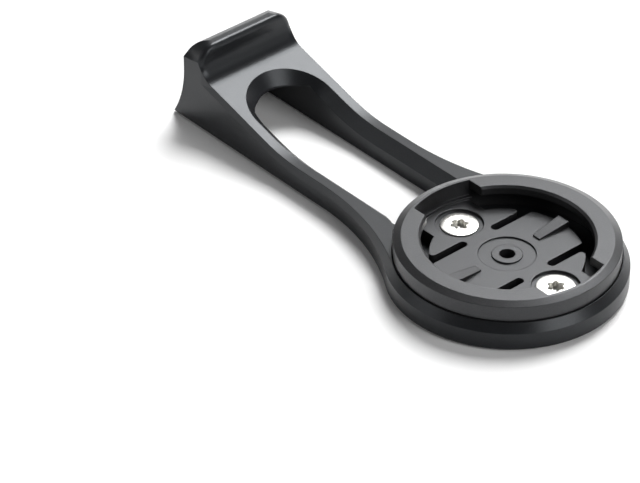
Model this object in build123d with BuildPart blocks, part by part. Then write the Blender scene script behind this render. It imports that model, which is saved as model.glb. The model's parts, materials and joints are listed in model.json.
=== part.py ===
"""Bike computer mount: an anodised aluminium arm with a moulded quarter-turn insert.

The arm lies flat on z = 0. Its origin is on the axis of the round head, +X points from the foot to the
head's front, and +Z points up. Millimetres.
"""

import os
from math import asin, cos, radians, sin, sqrt, tan

from build123d import *

os.makedirs("parts", exist_ok=True)

# Head: the round seat at the front of the arm
head_radius = 18.5
head_height = 4.4
recess_radius = 17.35
recess_floor = 2.2
rim_top_flat = 0.15
rim_facet_drop = 1.4
bottom_edge_break = 0.3

# Legs: the two bars round the long slot
arm_width = 18.7
leg_facet_run = 0.2
flare_start = 31.4
slot_width = 11.6
slot_arch_x = -49.0
slot_chamfer = 1.7
slot_corner_radius = 1.2
nose_angle = 45.0
nose_radius = 4.0
nose_overlap = 0.08

# Ramp: the deck climbs from the level legs to the foot
ramp_foot_x = -41.2
ramp_angle = 16.0
ramp_blend_radius = 30.0
facet_fade_length = 3.0
level_overlap = 0.5
least_riser = 0.01

# Foot: the upstand that leans on the handlebar, hollow underneath
upstand_back_x = -64.75
upstand_thickness = 4.3
upstand_height = 14.8
upstand_front_corner = 2.6
upstand_back_corner = 5.0
upstand_front_round = 0.85
upstand_back_round = 3.0
upstand_root_fillet = 3.7
bar_side_radius = 18.0
heel_reach = 2.95
pocket_height = 6.2
pocket_back_x = -62.75
pocket_corner_radius = 1.5

# Insert: the moulded quarter-turn socket
insert_clearance = 0.15
insert_top = 7.42
insert_shoulder = 6.9
insert_rim_radius = 16.0
insert_floor_thickness = 2.0
groove_radius = 15.65
lip_radius = 13.05
lip_thickness = 1.45
lip_edge_break = 0.35
tab_entry_width = 11.4
entry_ledge_radius = 15.0
entry_ledge_height = 0.45
window_inner_radius = 11.75
window_end_y = 5.3
horn_tip_radius = 0.6
spring_slot_x = 6.15
spring_slot_width = 1.4
spring_slot_start = 2.7
detent_start = 6.0
detent_inner_width = 1.4
detent_outer_width = 2.2
detent_toe_height = 0.25
detent_height = 1.0
detent_root = 0.3
insert_base_break = 0.3
badge_ring_radius = 4.4
badge_hub_radius = 2.35
badge_depth = 0.25
centre_hole_radius = 1.2

# Screws: countersunk M3 with a six-lobe socket
screw_spacing = 21.0
screw_radius = 1.5
screw_hole_radius = 1.7
thread_clearance = 0.05
screw_head_radius = 3.0
screw_head_sink = 0.2
screw_seat_radius = 3.7
screw_seat_depth = 0.45
screw_tip_above_base = 0.6
screw_tip_chamfer = 0.3
socket_lobe_circle = 0.85
socket_lobe_radius = 0.36
socket_core_radius = 0.85
socket_depth = 1.1

# Reach used to pick edges by their place
pick = 0.05


def flare_radius(half_width, round_radius):
    """Radius of the arc that leaves a leg's side at flare_start and meets the head's round."""
    return (flare_start**2 + half_width**2 - round_radius**2) / (2 * (round_radius - half_width))


def plate_face(half_width, round_radius, back_x):
    """Outline of the level plate: two straight sides, two flares and the head's round."""
    flare = flare_radius(half_width, round_radius)
    reach = round_radius / (round_radius + flare)
    touch = Vector(-flare_start * reach, -(half_width + flare) * reach)
    with BuildSketch() as plate:
        with BuildLine():
            side = Line((back_x, -half_width), (-flare_start, -half_width))
            bend = TangentArc(side @ 1, touch, tangent=side % 1)
            mirror([side, bend], about=Plane.XZ)
            ThreePointArc(touch, (round_radius, 0), (touch.X, -touch.Y))
            Line((back_x, half_width), (back_x, -half_width))
        make_face()
    return plate.sketch


def deck_height(x):
    """Height above z = 0 of the straight part of the ramp."""
    return head_height + (ramp_foot_x - x) * ramp_slope


def ramp_face(drop):
    """Side profile of the ramp and the foot below the upstand, with its deck lowered by drop."""
    top = head_height - drop
    top_back = (upstand_back_x, max(deck_height(upstand_back_x) - drop, cove_height + least_riser))
    slope_end = (
        ramp_foot_x - blend_reach * cos(radians(ramp_angle)),
        top + blend_reach * sin(radians(ramp_angle)),
    )
    with BuildSketch() as ramp:
        with BuildLine():
            base = Line((plate_back_x, 0), (heel_x, 0))
            cove = ThreePointArc(base @ 1, cove_middle, (upstand_back_x, cove_height))
            riser = Line(cove @ 1, top_back)
            slope = Line(riser @ 1, slope_end)
            blend = TangentArc(slope @ 1, (ramp_foot_x + blend_reach, top), tangent=slope % 1)
            level = Line(blend @ 1, (plate_back_x, top))
            Line(level @ 1, base @ 0)
        make_face()
    return ramp.sketch


# Values worked out from the driving dimensions
half_width = arm_width / 2
deck_half_width = half_width - leg_facet_run
rim_outer = recess_radius + rim_top_flat
facet_floor = head_height - rim_facet_drop
ramp_slope = tan(radians(ramp_angle))
blend_reach = ramp_blend_radius * tan(radians(ramp_angle / 2))
plate_back_x = ramp_foot_x + blend_reach + level_overlap
upstand_front_x = upstand_back_x + upstand_thickness
slot_rear_x = slot_arch_x - slot_width / 2
facet_start_x = upstand_front_x + facet_fade_length
deck_edge_y = slot_width / 2 + slot_chamfer
nose_turn = radians(nose_angle)
nose_reach = rim_outer - nose_overlap
nose_run = nose_radius * tan(nose_turn / 2)
nose_corner_x = (deck_edge_y * cos(nose_turn) - nose_reach) / sin(nose_turn)
nose_start = Vector(nose_corner_x - nose_run, deck_edge_y)
nose_end = Vector(nose_corner_x + nose_run * cos(nose_turn), deck_edge_y + nose_run * sin(nose_turn))
nose_touch = Vector(-nose_reach * sin(nose_turn), nose_reach * cos(nose_turn))
heel_x = upstand_back_x - heel_reach
cove_height = sqrt(2 * bar_side_radius * heel_reach - heel_reach**2)
cove_half_turn = asin(cove_height / bar_side_radius) / 2
cove_middle = (
    upstand_back_x - bar_side_radius * (1 - cos(cove_half_turn)),
    cove_height - bar_side_radius * sin(cove_half_turn),
)

plate_low = plate_face(half_width, head_radius, plate_back_x)
plate_high = plate_face(deck_half_width, rim_outer, plate_back_x)
ramp_full = ramp_face(0)
ramp_lowered = ramp_face(rim_facet_drop)

with BuildPart() as foot:
    # Upstand: top corners that grow rounder towards the back, and a rounded edge round its front face
    for x, corner_radius in (
        (upstand_back_x, upstand_back_corner),
        (upstand_front_x, upstand_front_corner),
    ):
        with BuildSketch(Plane.YZ.offset(x)) as outline:
            with Locations((0, upstand_height / 2)):
                Rectangle(arm_width, upstand_height)
            fillet(outline.vertices().group_by(Axis.Y)[-1], corner_radius)
    loft(ruled=True)
    front = foot.faces().sort_by(Axis.X)[-1]
    fillet(front.edges().filter_by(lambda edge: edge.center().Z > pick), upstand_front_round)

    # Ramp, made too wide so that the root fillet runs out past the sides
    with BuildSketch(Plane.XZ):
        add(ramp_full)
    extrude(amount=arm_width, both=True)
    root = foot.edges().filter_by(
        lambda edge: abs(edge.center().Z - deck_height(edge.center().X)) < pick
        and upstand_back_x + pick < edge.center().X < upstand_front_x + pick
        and abs(edge.center().Y) < half_width + pick
    )
    fillet(root, upstand_root_fillet)

    # Trimmed to the foot's width, which narrows to the deck's width in front of the upstand
    with BuildSketch(Plane.XY):
        with BuildLine():
            side = Polyline(
                (heel_x, half_width),
                (upstand_front_x, half_width),
                (facet_start_x, deck_half_width),
                (plate_back_x, deck_half_width),
            )
            other_side = mirror(side, about=Plane.XZ)
            Line(side @ 0, other_side @ 0)
            Line(side @ 1, other_side @ 1)
        make_face()
    extrude(amount=upstand_height, mode=Mode.INTERSECT)

    # Rolled back of the top
    with BuildSketch(Plane.XZ):
        with Locations((upstand_back_x, upstand_height)):
            Rectangle(2 * upstand_back_round, 2 * upstand_back_round)
        with Locations((upstand_back_x + upstand_back_round, upstand_height - upstand_back_round)):
            Circle(upstand_back_round, mode=Mode.SUBTRACT)
    extrude(amount=arm_width, both=True, mode=Mode.SUBTRACT)

with BuildPart() as slot_corners:
    # Spaces between the round noses of the two decks and the head, above a low ledge
    with BuildSketch(Plane.XY.offset(recess_floor)):
        with BuildLine():
            nose = TangentArc(nose_start, nose_end, tangent=(1, 0))
            Polyline(
                nose @ 1,
                nose_touch,
                (nose_touch.X, slot_width / 2 - slot_corner_radius),
                (nose_start.X - slot_chamfer, slot_width / 2 - slot_corner_radius),
                (nose_start.X - slot_chamfer, slot_width / 2),
                nose @ 0,
            )
        make_face()
        mirror(about=Plane.XZ)
    extrude(amount=head_height)
    with BuildSketch(Plane.XZ):
        with BuildLine():
            Polyline(
                (0, 0),
                (head_radius, 0),
                (head_radius, facet_floor),
                (rim_outer, head_height),
                (rim_outer, 2 * head_height),
                (0, 2 * head_height),
                close=True,
            )
        make_face()
    revolve(axis=Axis.Z, mode=Mode.SUBTRACT)

with BuildPart() as arm:
    # Head and level legs: a straight lower plate, then the leaning facet up to the deck
    with BuildSketch(Plane.XY):
        add(plate_low)
    extrude(amount=facet_floor)
    with BuildSketch(Plane.XY.offset(facet_floor)):
        add(plate_low)
    with BuildSketch(Plane.XY.offset(head_height)):
        add(plate_high)
    loft(ruled=True)

    # Foot, and the same leaning facet along the ramp's sides
    add(foot.part)
    for side in (-1, 1):
        with BuildSketch(Plane.XZ.offset(side * deck_half_width)):
            add(ramp_full)
        with BuildSketch(Plane.XZ.offset(side * half_width)):
            add(ramp_lowered)
        loft(ruled=True)

    # Long slot: a round arch at the foot, and the head's own round at the front
    with BuildSketch(Plane.XY) as slot:
        with Locations((slot_arch_x / 2, 0)):
            Rectangle(-slot_arch_x, slot_width)
        with Locations((slot_arch_x, 0)):
            Circle(slot_width / 2)
        Circle(head_radius, mode=Mode.SUBTRACT)
        fillet(slot.vertices().group_by(Axis.X)[-1], slot_corner_radius)
    extrude(amount=upstand_height, mode=Mode.SUBTRACT)
    slot_top = arm.edges().filter_by(
        lambda edge: abs(edge.center().Y) < slot_width / 2 + pick
        and edge.center().Z > head_height - pick
        and slot_rear_x - pick < edge.center().X < -head_radius - slot_corner_radius
    )
    chamfer(slot_top, slot_chamfer)
    add(slot_corners.part, mode=Mode.SUBTRACT)

    # Hollow under the foot
    with BuildSketch(Plane.XY) as pocket:
        with Locations(((slot_arch_x + pocket_back_x) / 2, 0)):
            Rectangle(slot_arch_x - pocket_back_x, slot_width)
        fillet(pocket.vertices().group_by(Axis.X)[0], pocket_corner_radius)
    extrude(amount=pocket_height, mode=Mode.SUBTRACT)

    # Seat for the insert, with two threaded holes through its floor
    with BuildSketch(Plane.XY.offset(recess_floor)):
        Circle(recess_radius)
    extrude(amount=head_height, mode=Mode.SUBTRACT)
    with BuildSketch(Plane.XY):
        with GridLocations(screw_spacing, 0, 2, 1):
            Circle(screw_radius + thread_clearance)
    extrude(amount=recess_floor, mode=Mode.SUBTRACT)

    # Broken edge round the outside of the base
    base_edges = arm.edges().group_by(Axis.Z)[0].filter_by(
        lambda edge: abs(edge.center().Y) > half_width - pick or edge.center().X > recess_radius
    )
    chamfer(base_edges, bottom_edge_break)

arm.part.label = "arm"
export_step(arm.part, "parts/arm.step")

# Insert
insert_radius = recess_radius - insert_clearance
floor_top = recess_floor + insert_floor_thickness
lip_under = insert_top - lip_thickness
head_top = floor_top - screw_head_sink
seat_floor = floor_top - screw_seat_depth
screw_x = screw_spacing / 2
horn_x = spring_slot_x + spring_slot_width / 2
detent_slope = (detent_height - detent_toe_height) / (window_inner_radius - detent_start)

with BuildPart() as detent:
    with BuildSketch(Plane.XY.offset(floor_top - detent_root)):
        with BuildLine():
            Polyline(
                (-detent_inner_width / 2, detent_start),
                (detent_inner_width / 2, detent_start),
                (detent_outer_width / 2, window_inner_radius),
                (-detent_outer_width / 2, window_inner_radius),
                close=True,
            )
        make_face()
    extrude(amount=detent_root + detent_height)
    split(
        bisect_by=Plane(
            origin=(0, detent_start, floor_top + detent_toe_height),
            x_dir=(1, 0, 0),
            z_dir=(0, -detent_slope, 1),
        ),
        keep=Keep.BOTTOM,
    )

with BuildPart() as quarter_turn_insert:
    # Round wall, shoulder, lip and floor in one turned section
    with BuildSketch(Plane.XZ):
        with BuildLine():
            Polyline(
                (0, recess_floor),
                (insert_radius - insert_base_break, recess_floor),
                (insert_radius, recess_floor + insert_base_break),
                (insert_radius, insert_shoulder),
                (insert_rim_radius, insert_top),
                (lip_radius + lip_edge_break, insert_top),
                (lip_radius, insert_top - lip_edge_break),
                (lip_radius, lip_under),
                (groove_radius, lip_under),
                (groove_radius, floor_top),
                (0, floor_top),
                close=True,
            )
        make_face()
    revolve(axis=Axis.Z)

    # Tab entries: gaps in the lip at the front and the back
    with BuildSketch(Plane.XY.offset(floor_top)):
        Circle(groove_radius)
        Rectangle(2 * groove_radius, tab_entry_width, mode=Mode.INTERSECT)
    extrude(amount=insert_top, mode=Mode.SUBTRACT)
    with BuildSketch(Plane.XY.offset(floor_top)):
        Circle(groove_radius)
        Circle(entry_ledge_radius, mode=Mode.SUBTRACT)
        Rectangle(2 * groove_radius, tab_entry_width, mode=Mode.INTERSECT)
    extrude(amount=entry_ledge_height)

    # Mould windows under the lips, joined to the slots that free the spring tongues
    with BuildSketch(Plane.XY.offset(recess_floor)) as windows:
        Circle(groove_radius)
        Circle(window_inner_radius, mode=Mode.SUBTRACT)
        Rectangle(2 * groove_radius, 2 * window_end_y, mode=Mode.SUBTRACT)
        for side in (-1, 1):
            with Locations((0, side * (spring_slot_start + groove_radius / 2))):
                with GridLocations(2 * spring_slot_x, 0, 2, 1):
                    SlotOverall(groove_radius, spring_slot_width, rotation=90)
        Circle(groove_radius, mode=Mode.INTERSECT)
        horns = windows.vertices().filter_by(
            lambda corner: abs(abs(corner.X) - horn_x) < pick and abs(corner.Y) > window_end_y
        )
        fillet(horns, horn_tip_radius)
    extrude(amount=insert_floor_thickness, mode=Mode.SUBTRACT)

    # Centre hole and the shallow ring round it
    with BuildSketch(Plane.XY.offset(floor_top)):
        Circle(badge_ring_radius)
        Circle(badge_hub_radius, mode=Mode.SUBTRACT)
    extrude(amount=-badge_depth, mode=Mode.SUBTRACT)
    with BuildSketch(Plane.XY.offset(recess_floor)):
        Circle(centre_hole_radius)
    extrude(amount=insert_floor_thickness, mode=Mode.SUBTRACT)

    # Seats of the two screws
    with Locations((-screw_x, 0, floor_top), (screw_x, 0, floor_top)):
        CounterBoreHole(screw_hole_radius, screw_seat_radius, screw_seat_depth, insert_floor_thickness)
    with Locations((-screw_x, 0, seat_floor), (screw_x, 0, seat_floor)):
        CounterSinkHole(screw_hole_radius, screw_head_radius, insert_floor_thickness, 90)

    # Detent wedges on the two tongues
    add(detent.part)
    add(mirror(detent.part, about=Plane.XZ, mode=Mode.PRIVATE))

quarter_turn_insert.part.label = "quarter_turn_insert"
export_step(quarter_turn_insert.part, "parts/quarter_turn_insert.step")

with BuildPart() as screw_form:
    # Countersunk head, shank and broken tip in one turned section, then the six-lobe socket
    with BuildSketch(Plane.XZ):
        with BuildLine():
            Polyline(
                (0, head_top),
                (screw_head_radius, head_top),
                (screw_head_radius, seat_floor),
                (screw_radius, seat_floor - screw_head_radius + screw_radius),
                (screw_radius, screw_tip_above_base + screw_tip_chamfer),
                (screw_radius - screw_tip_chamfer, screw_tip_above_base),
                (0, screw_tip_above_base),
                close=True,
            )
        make_face()
    revolve(axis=Axis.Z)
    with BuildSketch(Plane.XY.offset(head_top)):
        Circle(socket_core_radius)
        with PolarLocations(socket_lobe_circle, 6):
            Circle(socket_lobe_radius)
    extrude(amount=-socket_depth, mode=Mode.SUBTRACT)

with BuildPart() as insert_screw_rear:
    with Locations((-screw_x, 0, 0)):
        add(screw_form.part)

insert_screw_rear.part.label = "insert_screw_rear"
export_step(insert_screw_rear.part, "parts/insert_screw_rear.step")

with BuildPart() as insert_screw_front:
    with Locations((screw_x, 0, 0)):
        add(screw_form.part)

insert_screw_front.part.label = "insert_screw_front"
export_step(insert_screw_front.part, "parts/insert_screw_front.step")
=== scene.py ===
# %% [markdown]
# # Bike computer mount
# A flat arm of black anodised aluminium carries a moulded socket for a bike computer. The exact shapes come
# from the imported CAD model. Blender adds the finishes, the small screws with their threads, the light and the
# camera.

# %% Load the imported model
import json
from math import atan2, cos, pi, radians, sin

import bmesh
import bpy
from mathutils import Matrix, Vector

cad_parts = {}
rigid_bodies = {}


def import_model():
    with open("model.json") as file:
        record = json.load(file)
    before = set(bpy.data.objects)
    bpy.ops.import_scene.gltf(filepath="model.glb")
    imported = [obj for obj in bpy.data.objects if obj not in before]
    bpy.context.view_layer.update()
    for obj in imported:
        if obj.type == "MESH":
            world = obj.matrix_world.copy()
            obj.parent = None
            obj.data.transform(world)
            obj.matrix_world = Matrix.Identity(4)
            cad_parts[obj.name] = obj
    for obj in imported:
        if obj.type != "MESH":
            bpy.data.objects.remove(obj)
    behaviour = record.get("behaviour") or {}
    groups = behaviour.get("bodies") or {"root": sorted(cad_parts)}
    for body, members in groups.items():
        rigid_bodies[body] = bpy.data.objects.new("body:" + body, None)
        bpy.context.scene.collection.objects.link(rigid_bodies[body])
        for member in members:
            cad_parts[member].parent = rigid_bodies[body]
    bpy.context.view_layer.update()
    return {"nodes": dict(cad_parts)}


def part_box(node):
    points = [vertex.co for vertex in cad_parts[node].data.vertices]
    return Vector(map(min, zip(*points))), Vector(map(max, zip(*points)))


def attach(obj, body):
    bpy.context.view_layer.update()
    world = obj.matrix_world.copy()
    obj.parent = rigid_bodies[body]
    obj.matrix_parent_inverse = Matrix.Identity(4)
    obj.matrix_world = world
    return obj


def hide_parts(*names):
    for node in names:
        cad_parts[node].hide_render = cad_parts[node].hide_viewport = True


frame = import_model()
arm = frame["nodes"]["arm"]
insert = frame["nodes"]["quarter_turn_insert"]
print("nodes:", sorted(frame["nodes"]))

# %% [markdown]
# ## Camera
# The photo looks down on the mount from its head's side with a long lens. The direction, distance, focal length
# and the small shift were worked out from the round head, the straight legs and the socket's slots.

# %% Camera at the photo's viewing angle
VIEW_AZIMUTH = radians(48.86)
VIEW_ELEVATION = radians(35.75)
VIEW_DISTANCE = 0.5523
VIEW_TARGET = Vector((-0.0248, -0.01496, 0.0))
SENSOR_MM = 36.0
LENS_MM = 203.72
PHOTO_WIDTH = 640
SHIFT_X_PIXELS = -3.10
SHIFT_Y_PIXELS = 0.36
CLIP_NEAR = 0.01
CLIP_FAR = 50.0


def direction(azimuth, elevation):
    """A unit vector from the object: azimuth 0 is towards -Y, and 90 degrees is towards +X."""
    return Vector((sin(azimuth) * cos(elevation), -cos(azimuth) * cos(elevation), sin(elevation)))


lens = bpy.data.cameras.new("photo_camera")
lens.sensor_width = SENSOR_MM
lens.lens = LENS_MM
lens.shift_x = SHIFT_X_PIXELS / PHOTO_WIDTH
lens.shift_y = SHIFT_Y_PIXELS / PHOTO_WIDTH
lens.clip_start = CLIP_NEAR
lens.clip_end = CLIP_FAR
camera = bpy.data.objects.new("photo_camera", lens)
scene = bpy.context.scene
scene.collection.objects.link(camera)
towards_eye = direction(VIEW_AZIMUTH, VIEW_ELEVATION)
camera.location = VIEW_TARGET + towards_eye * VIEW_DISTANCE
camera.rotation_euler = towards_eye.to_track_quat("Z", "Y").to_euler()
scene.camera = camera
print("camera at", [round(v, 4) for v in camera.location])

# %% [markdown]
# ## A small language for materials
# Shader maths is easier to read as plain sums than as a web of nodes. `Value` wraps one node socket, and its
# operators add the Math nodes. `Recipe` is one material, and its `node` method makes any other node.

# %% Sums on node sockets
BEVEL_SAMPLES = 6
RAMP_PLACES = (0.3, 0.7)


class Value:
    """A node's output that takes part in plain sums."""

    def __init__(self, recipe, socket):
        self.recipe, self.socket = recipe, socket

    def _sum(self, operation, other):
        return self.recipe.node("ShaderNodeMath", {"operation": operation}, {0: self, 1: other})

    def __add__(self, other):
        return self._sum("ADD", other)

    def __mul__(self, other):
        return self._sum("MULTIPLY", other)

    __radd__, __rmul__ = __add__, __mul__


class Recipe:
    """A material, made node by node."""

    def __init__(self, name, **shader_values):
        self.material = bpy.data.materials.new(name)
        self.material.use_nodes = True
        self.tree = self.material.node_tree
        self.shader = self.tree.nodes["Principled BSDF"]
        for key, value in shader_values.items():
            self.shader.inputs[key.replace("_", " ")].default_value = value

    def node(self, kind, settings, inputs, output=0):
        """Adds a node, sets its own settings first and then its sockets, and returns one output."""
        made = self.tree.nodes.new(kind)
        for key, value in settings.items():
            setattr(made, key, value)
        for key, value in inputs.items():
            if isinstance(value, Value):
                self.tree.links.new(value.socket, made.inputs[key])
            else:
                made.inputs[key].default_value = value
        return Value(self, made.outputs[output])

    def place(self):
        """The point being shaded, in the object's own metres."""
        return self.node("ShaderNodeTexCoord", {}, {}, output="Object")

    def length(self, vector):
        """How long a vector is."""
        return self.node("ShaderNodeVectorMath", {"operation": "LENGTH"}, {0: vector}, output="Value")

    def noise(self, size, detail=2.0, roughness=0.5):
        """Soft noise whose blobs are about size metres across, from 0 to 1."""
        inputs = {"Vector": self.place(), "Scale": 1.0 / size, "Detail": detail, "Roughness": roughness}
        return self.node("ShaderNodeTexNoise", {}, inputs)

    def wire(self, socket, value):
        """Feeds a value into one of the shader's sockets."""
        self.tree.links.new(value.socket, self.shader.inputs[socket])

    def colour(self, factor, dark, light):
        """A base colour that goes from dark to light with the factor."""
        ramp = self.node("ShaderNodeValToRGB", {}, {"Fac": factor}, output="Color")
        for element, place, shade in zip(ramp.socket.node.color_ramp.elements, RAMP_PLACES, (dark, light)):
            element.position = place
            element.color = (*shade, 1.0)
        self.wire("Base Color", ramp)

    def relief(self, edge, height, strength, depth):
        """Bends the normal near each edge, and by a fine relief of this height."""
        rounded = self.node("ShaderNodeBevel", {"samples": BEVEL_SAMPLES}, {"Radius": edge})
        inputs = {"Strength": strength, "Distance": depth, "Height": height, "Normal": rounded}
        self.wire("Normal", self.node("ShaderNodeBump", {}, inputs))


def dress(piece, material):
    """Gives a piece one material in every slot it has."""
    piece.data.materials.clear()
    piece.data.materials.append(material)


print("material helpers ready")

# %% [markdown]
# ## Black anodised aluminium
# The arm is milled, bead-blasted and dyed black. Close up it has a fine frosted grain and edges that a tumbler
# has rounded by about a tenth of a millimetre. Fine noise in a bump makes the grain, and wider patches of noise
# make the roughness a little uneven. The rounded edges come from the Bevel node, which bends the normal near
# each edge.

# %% The arm's finish
BLAST_GRAIN = 0.00016
BLAST_PATCH = 0.0022
BLAST_DEPTH = 0.000012
BLAST_STRENGTH = 0.55
EDGE_ROUND = 0.00013
DYE_DARK = (0.008, 0.0085, 0.0095)
DYE_LIGHT = (0.014, 0.0145, 0.0165)
DYE_TINT = (0.92, 0.96, 1.0, 1.0)
DYE_SHINE = 0.32
DYE_ROUGHNESS = 0.27
DYE_ROUGHNESS_SPREAD = 0.05


def anodised_black():
    """Satin black anodising over bead-blasted aluminium."""
    recipe = Recipe("anodised_black", IOR=1.5, Specular_Tint=DYE_TINT, Specular_IOR_Level=DYE_SHINE)
    grain = recipe.noise(BLAST_GRAIN, detail=3.0, roughness=0.6)
    patch = recipe.noise(BLAST_PATCH)
    recipe.colour(grain, DYE_DARK, DYE_LIGHT)
    recipe.wire("Roughness", DYE_ROUGHNESS + DYE_ROUGHNESS_SPREAD * patch + DYE_ROUGHNESS_SPREAD * grain)
    recipe.relief(EDGE_ROUND, grain, BLAST_STRENGTH, BLAST_DEPTH)
    return recipe.material


dress(arm, anodised_black())
print("arm finished")

# %% [markdown]
# ## Moulded plastic
# The socket is injection-moulded nylon, dark grey and matt. Its tool was spark-eroded, which leaves an even,
# slightly coarser grain than the metal's, and its edges are a little softer.

# %% The socket's finish
SPARK_GRAIN = 0.00022
SPARK_DEPTH = 0.00002
SPARK_STRENGTH = 0.7
MOULD_FLOW = 0.004
MOULD_EDGE = 0.00018
NYLON_DARK = (0.010, 0.010, 0.0105)
NYLON_LIGHT = (0.021, 0.021, 0.022)
NYLON_TINT = (0.94, 0.96, 1.0, 1.0)
NYLON_SHINE = 0.55
NYLON_ROUGHNESS = 0.29
FLOW_SPREAD = 0.06
GRAIN_SPREAD = 0.08


def moulded_grey():
    """Dark grey nylon from a spark-eroded mould."""
    recipe = Recipe("moulded_grey", IOR=1.5, Specular_Tint=NYLON_TINT, Specular_IOR_Level=NYLON_SHINE)
    grain = recipe.noise(SPARK_GRAIN, detail=3.0, roughness=0.65)
    flow = recipe.noise(MOULD_FLOW, detail=1.0)
    recipe.colour(grain, NYLON_DARK, NYLON_LIGHT)
    recipe.wire("Roughness", NYLON_ROUGHNESS + FLOW_SPREAD * flow + GRAIN_SPREAD * grain)
    recipe.relief(MOULD_EDGE, grain, SPARK_STRENGTH, SPARK_DEPTH)
    return recipe.material


dress(insert, moulded_grey())
print("insert finished")

# %% [markdown]
# ## Countersunk screws
# Each screw is stainless: a flat countersunk head with a softened rim, a six-lobe socket that is pressed in, and
# a rolled thread. A plain spin can't make the socket, because six lobes aren't round. So the screw is grown ring
# by ring: a small disc at the bottom of the socket is extruded outwards, scaled in groups into six lobes, drawn
# up as the socket's wall, and then led over the head and down to the tip.

# %% Grow the screw from its socket
LOBES = 6
RING_POINTS = 96
SOCKET_WIDE = 0.00142
SOCKET_NARROW = 0.00102
SOCKET_DEPTH = 0.0014
SOCKET_DISC = 0.0003
SHANK_CORE = 0.00121
TIP_RADIUS = 0.00098
SCREW_ORIGIN = (0.0, 0.0, 0.0)

rear_low, rear_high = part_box("insert_screw_rear")
front_low, front_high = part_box("insert_screw_front")
head_top = rear_high.z
tip = rear_low.z
head_radius = (rear_high.x - rear_low.x) / 2

# Each step is the ring's new radius and how far it rises.
SOCKET_FLOOR = [(0.00136, 0.0003)]
SOCKET_WALL = [(0.00138, 0.00102), (0.00146, 0.00006), (0.0018, 0.00002)]
HEAD_FACE = [(0.0022, 0.0), (0.00286, 0.0), (0.00294, -0.00003), (0.00299, -0.00009)]
HEAD_CONE = [(head_radius, -0.00013), (0.0016, -0.0014), (0.00134, -0.00014)]
SHANK = [(SHANK_CORE, -0.00022), (SHANK_CORE, -0.00104)]


def choose_points(indices):
    """Selects exactly these points of the mesh in edit mode."""
    bpy.ops.mesh.select_all(action="DESELECT")
    mesh = bmesh.from_edit_mesh(bpy.context.object.data)
    mesh.verts.ensure_lookup_table()
    for index in indices:
        mesh.verts[index].select = True
    mesh.select_flush(True)
    bmesh.update_edit_mesh(bpy.context.object.data)


def chosen_points():
    """The selected points as (index, turn round the axis)."""
    mesh = bmesh.from_edit_mesh(bpy.context.object.data)
    return [(point.index, atan2(point.co.y, point.co.x)) for point in mesh.verts if point.select]


def scale_ring(share):
    """Scales what is selected about the screw's axis."""
    bpy.ops.transform.resize(value=(share, share, 1.0), center_override=SCREW_ORIGIN)


def draw_ring(rise):
    """Extrudes the selected ring and lifts it."""
    bpy.ops.mesh.extrude_edges_move(TRANSFORM_OT_translate={"value": (0.0, 0.0, rise)})


def grow(radius, steps):
    """Extrudes the selected ring, which has this radius, step by step. Returns its last radius."""
    for new_radius, rise in steps:
        draw_ring(rise)
        scale_ring(new_radius / radius)
        radius = new_radius
    return radius


def press_lobes(release=False):
    """Scales the ring's points in groups into six lobes, or back into a round."""
    ring = chosen_points()
    for reach in sorted({round(cos(LOBES * turn), 3) for _, turn in ring}):
        choose_points([index for index, turn in ring if round(cos(LOBES * turn), 3) == reach])
        share = (SOCKET_NARROW + (SOCKET_WIDE - SOCKET_NARROW) * (0.5 + 0.5 * reach)) / SOCKET_WIDE
        scale_ring(1.0 / share if release else share)
    choose_points([index for index, _ in ring])


def face_outwards():
    """Turns all the faces of the mesh in edit mode outwards, and leaves edit mode."""
    bpy.ops.mesh.select_all(action="SELECT")
    bpy.ops.mesh.normals_make_consistent(inside=False)
    bpy.ops.object.mode_set(mode="OBJECT")


bpy.ops.object.select_all(action="DESELECT")
bpy.ops.mesh.primitive_circle_add(
    vertices=RING_POINTS, radius=SOCKET_DISC, fill_type="TRIFAN", location=(0.0, 0.0, head_top - SOCKET_DEPTH)
)
screw = bpy.context.object
screw.name = "screw_rear_detailed"
bpy.ops.object.mode_set(mode="EDIT")
bpy.context.tool_settings.mesh_select_mode = (True, False, False)
bpy.ops.mesh.select_all(action="SELECT")
bpy.ops.mesh.region_to_loop()
radius = grow(SOCKET_DISC, SOCKET_FLOOR)
press_lobes()
radius = grow(radius, SOCKET_WALL)
press_lobes(release=True)
outside = HEAD_FACE + HEAD_CONE + SHANK
radius = grow(radius, outside)
left_to_tip = tip - head_top - sum(rise for _, rise in outside)
grow(radius, [(TIP_RADIUS, left_to_tip)])
draw_ring(0.0)
bpy.ops.mesh.merge(type="CENTER")
face_outwards()
print("screw body:", len(screw.data.polygons), "faces")

# %% [markdown]
# ## Rolled thread
# The thread is one ridge that winds round the shank. A small diamond is the ridge's section, the Screw modifier
# winds it round the axis, and a Boolean joins it to the shank. It starts a hair off the shank's seam, so that
# no two edges coincide where they are joined. Its upper end runs out inside the cone of the head.

# %% Wind the thread and join it
THREAD_PITCH = 0.0005
THREAD_TURNS = 3
THREAD_STEPS = 48
THREAD_MIDDLE = 0.0012
THREAD_HALF_WIDTH = 0.00029
THREAD_HALF_HEIGHT = 0.00021
THREAD_START_Y = 0.00004
THREAD_START_RISE = 0.0004
SMOOTH_ANGLE = radians(32)


def fix_placing():
    """Puts the selected object's place, turn and scale into its mesh."""
    bpy.ops.object.transform_apply(location=True, rotation=True, scale=True)


def pick_only(piece):
    """Makes this piece the only selected object, and the active one."""
    bpy.ops.object.select_all(action="DESELECT")
    piece.select_set(True)
    bpy.context.view_layer.objects.active = piece


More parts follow.
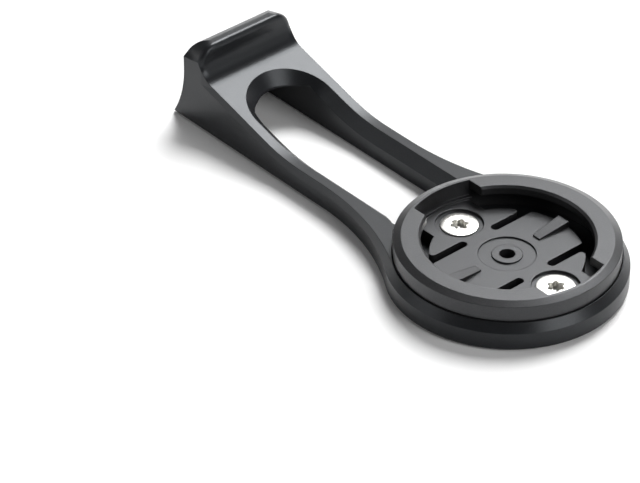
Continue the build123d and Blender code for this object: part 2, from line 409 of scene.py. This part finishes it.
bpy.ops.object.select_all(action="DESELECT")
bpy.ops.mesh.primitive_circle_add(
    vertices=4,
    radius=THREAD_HALF_HEIGHT,
    fill_type="NOTHING",
    location=(THREAD_MIDDLE, THREAD_START_Y, tip + THREAD_START_RISE),
    rotation=(pi / 2, 0.0, 0.0),
)
thread = bpy.context.object
bpy.ops.object.mode_set(mode="EDIT")
bpy.ops.mesh.select_all(action="SELECT")
stretch = THREAD_HALF_WIDTH / THREAD_HALF_HEIGHT
bpy.ops.transform.resize(value=(stretch, 1.0, 1.0), center_override=(THREAD_MIDDLE, 0.0, 0.0))
bpy.ops.object.mode_set(mode="OBJECT")
fix_placing()
winding = thread.modifiers.new("winding", "SCREW")
winding.axis = "Z"
winding.screw_offset = THREAD_PITCH
winding.iterations = THREAD_TURNS
winding.steps = winding.render_steps = THREAD_STEPS
bpy.ops.object.modifier_apply(modifier="winding")
bpy.ops.object.mode_set(mode="EDIT")
bpy.ops.mesh.select_all(action="SELECT")
bpy.ops.mesh.fill_holes(sides=4)
face_outwards()

pick_only(screw)
fix_placing()
joining = screw.modifiers.new("joining", "BOOLEAN")
joining.operation = "UNION"
joining.solver = "EXACT"
joining.object = thread
bpy.ops.object.modifier_apply(modifier="joining")
bpy.data.objects.remove(thread)
bpy.ops.object.shade_smooth_by_angle(angle=SMOOTH_ANGLE)
print("screw with thread:", len(screw.data.polygons), "faces")

# %% [markdown]
# ## Two screws in their places
# The finished screw is copied once. Screws stop at any turn when they are tightened, so each gets its own: the
# turns follow the photo.

# %% Place both screws
REAR_TURN = radians(4.0)
FRONT_TURN = radians(19.0)

bpy.ops.object.duplicate()
second_screw = bpy.context.object
second_screw.name = "screw_front_detailed"
seats = (
    (screw, "insert_screw_rear", (rear_low.x + rear_high.x) / 2, REAR_TURN),
    (second_screw, "insert_screw_front", (front_low.x + front_high.x) / 2, FRONT_TURN),
)
for piece, node_name, axis_x, turn in seats:
    pick_only(piece)
    piece.rotation_euler.z = turn
    piece.location.x = axis_x
    fix_placing()
    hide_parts(node_name)
    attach(piece, "root")
    print(piece.name, "at x", round(axis_x, 5))

# %% [markdown]
# ## Stainless steel
# The screw heads are turned, so fine rings run round their axis. The rings are a sine of the distance from the
# screw's own axis, which a Mapping node brings to the origin. The bright metal is a little uneven, as pickled
# stainless is.

# %% The screws' finish
TURNING_PITCH = 0.00009
TURNING_DEPTH = 0.000004
TURNING_STRENGTH = 0.25
TURNING_SPREAD = 0.03
STEEL_MOTTLE = 0.0006
STEEL_EDGE = 0.00006
STEEL_DARK = (0.66, 0.65, 0.62)
STEEL_LIGHT = (0.76, 0.755, 0.73)
STEEL_ROUGHNESS = 0.24
MOTTLE_SPREAD = 0.08


def turned_steel(name, axis_x):
    """Bright stainless steel with turning rings round an upright axis at axis_x."""
    recipe = Recipe(name, Metallic=1.0)
    centred = recipe.node("ShaderNodeMapping", {}, {"Vector": recipe.place(), "Location": (-axis_x, 0.0, 0.0)})
    flat = recipe.node("ShaderNodeVectorMath", {"operation": "MULTIPLY"}, {0: centred, 1: (1.0, 1.0, 0.0)})
    turns = recipe.length(flat) * (2.0 * pi / TURNING_PITCH)
    rings = recipe.node("ShaderNodeMath", {"operation": "SINE"}, {0: turns})
    mottle = recipe.noise(STEEL_MOTTLE)
    recipe.colour(mottle, STEEL_DARK, STEEL_LIGHT)
    recipe.wire("Roughness", STEEL_ROUGHNESS + TURNING_SPREAD * rings + MOTTLE_SPREAD * mottle)
    recipe.relief(STEEL_EDGE, rings, TURNING_STRENGTH, TURNING_DEPTH)
    return recipe.material


for piece, _, axis_x, _ in seats:
    dress(piece, turned_steel("steel_" + piece.name.split("_")[1], axis_x))
print("screws finished")

# %% [markdown]
# ## Floor and light
# The photo is a cut-out on white. Close to the mount the floor is a natural pale surface, so that a soft shadow
# lies under it. Further out it fades to plain white for the camera and for reflections, and a low wall at its
# rim carries the white up behind the mount in low views. One strong soft box hangs where the ramp mirrors it, a
# weak one lights the deck, and three more, behind, right and left, light the walls.

# %% Floor
FLOOR_RADIUS = 3.0
FLOOR_POINTS = 96
WALL_HEIGHT = 0.5
FLOOR_GAP = 0.0002
FLOOR_COLOUR = (0.93, 0.93, 0.93, 1.0)
FLOOR_ROUGHNESS = 0.9
NATURAL_REACH = 0.15
WHITE_FROM = 0.45
WHITE_STRENGTH = 1.0

bpy.ops.object.select_all(action="DESELECT")
bpy.ops.mesh.primitive_circle_add(
    vertices=FLOOR_POINTS, radius=FLOOR_RADIUS, fill_type="NGON", location=(0.0, 0.0, -FLOOR_GAP)
)
floor = bpy.context.object
floor.name = "floor"
bpy.ops.object.mode_set(mode="EDIT")
bpy.ops.mesh.select_all(action="SELECT")
bpy.ops.mesh.region_to_loop()
draw_ring(WALL_HEIGHT)
bpy.ops.object.mode_set(mode="OBJECT")

floor_look = Recipe("pale_floor", Roughness=FLOOR_ROUGHNESS, Base_Color=FLOOR_COLOUR)
path = floor_look.tree.nodes.new("ShaderNodeLightPath")
camera_ray, glossy_ray, clear_ray = [
    Value(floor_look, path.outputs[f"Is {kind} Ray"]) for kind in ("Camera", "Glossy", "Transmission")
]
seen = camera_ray + glossy_ray + clear_ray
far = floor_look.node(
    "ShaderNodeMapRange",
    {"interpolation_type": "SMOOTHSTEP"},
    {"Value": floor_look.length(floor_look.place()), "From Min": NATURAL_REACH, "From Max": WHITE_FROM},
)
natural = Value(floor_look, floor_look.shader.outputs[0])
white = floor_look.node("ShaderNodeEmission", {}, {"Strength": WHITE_STRENGTH})
blend = floor_look.node("ShaderNodeMixShader", {}, {0: seen * far, 1: natural, 2: white})
floor_look.tree.links.new(blend.socket, floor_look.tree.nodes["Material Output"].inputs["Surface"])
dress(floor, floor_look.material)
print("floor ready")

# %% Soft boxes and the room
ROOM_WHITE = (1.0, 1.0, 1.0, 1.0)
ROOM_STRENGTH = 0.08
LIGHT_TARGET = Vector((-0.03, 0.0, 0.0))

# Each box has a name, its direction from the mount, its distance, its size and the brightness of its face.
SOFT_BOXES = (
    ("ramp_box", (-0.209, 0.534, 0.819), 1.0, (0.46, 0.46), 18.0),
    ("deck_box", (-0.611, 0.534, 0.584), 1.2, (0.6, 0.5), 1.65),
    ("back_box", (-0.61, 0.79, 0.14), 1.4, (1.2, 0.35), 3.5),
    ("right_box", (0.854, 0.141, 0.5), 1.4, (0.8, 0.6), 5.5),
    ("left_box", (-0.47, -0.74, 0.47), 1.4, (0.9, 0.6), 1.5),
)


def soft_box(name, towards, distance, size, brightness):
    """A square-on area light. Its power is worked out from the brightness of its face."""
    lamp = bpy.data.lights.new(name, "AREA")
    lamp.shape = "RECTANGLE"
    lamp.size, lamp.size_y = size
    lamp.energy = brightness * pi * size[0] * size[1]
    holder = bpy.data.objects.new(name, lamp)
    towards = Vector(towards).normalized()
    holder.location = LIGHT_TARGET + towards * distance
    holder.rotation_euler = towards.to_track_quat("Z", "Y").to_euler()
    scene.collection.objects.link(holder)


room = bpy.data.worlds.new("room")
room.use_nodes = True
room_light = room.node_tree.nodes["Background"].inputs
room_light["Color"].default_value = ROOM_WHITE
room_light["Strength"].default_value = ROOM_STRENGTH
scene.world = room
for box in SOFT_BOXES:
    soft_box(*box)
scene.view_settings.view_transform = "Standard"
print("lights ready")

# %% [markdown]
# ## The end
# The looks must not change the object's size.

# %% End of the scene
print("scene ready")
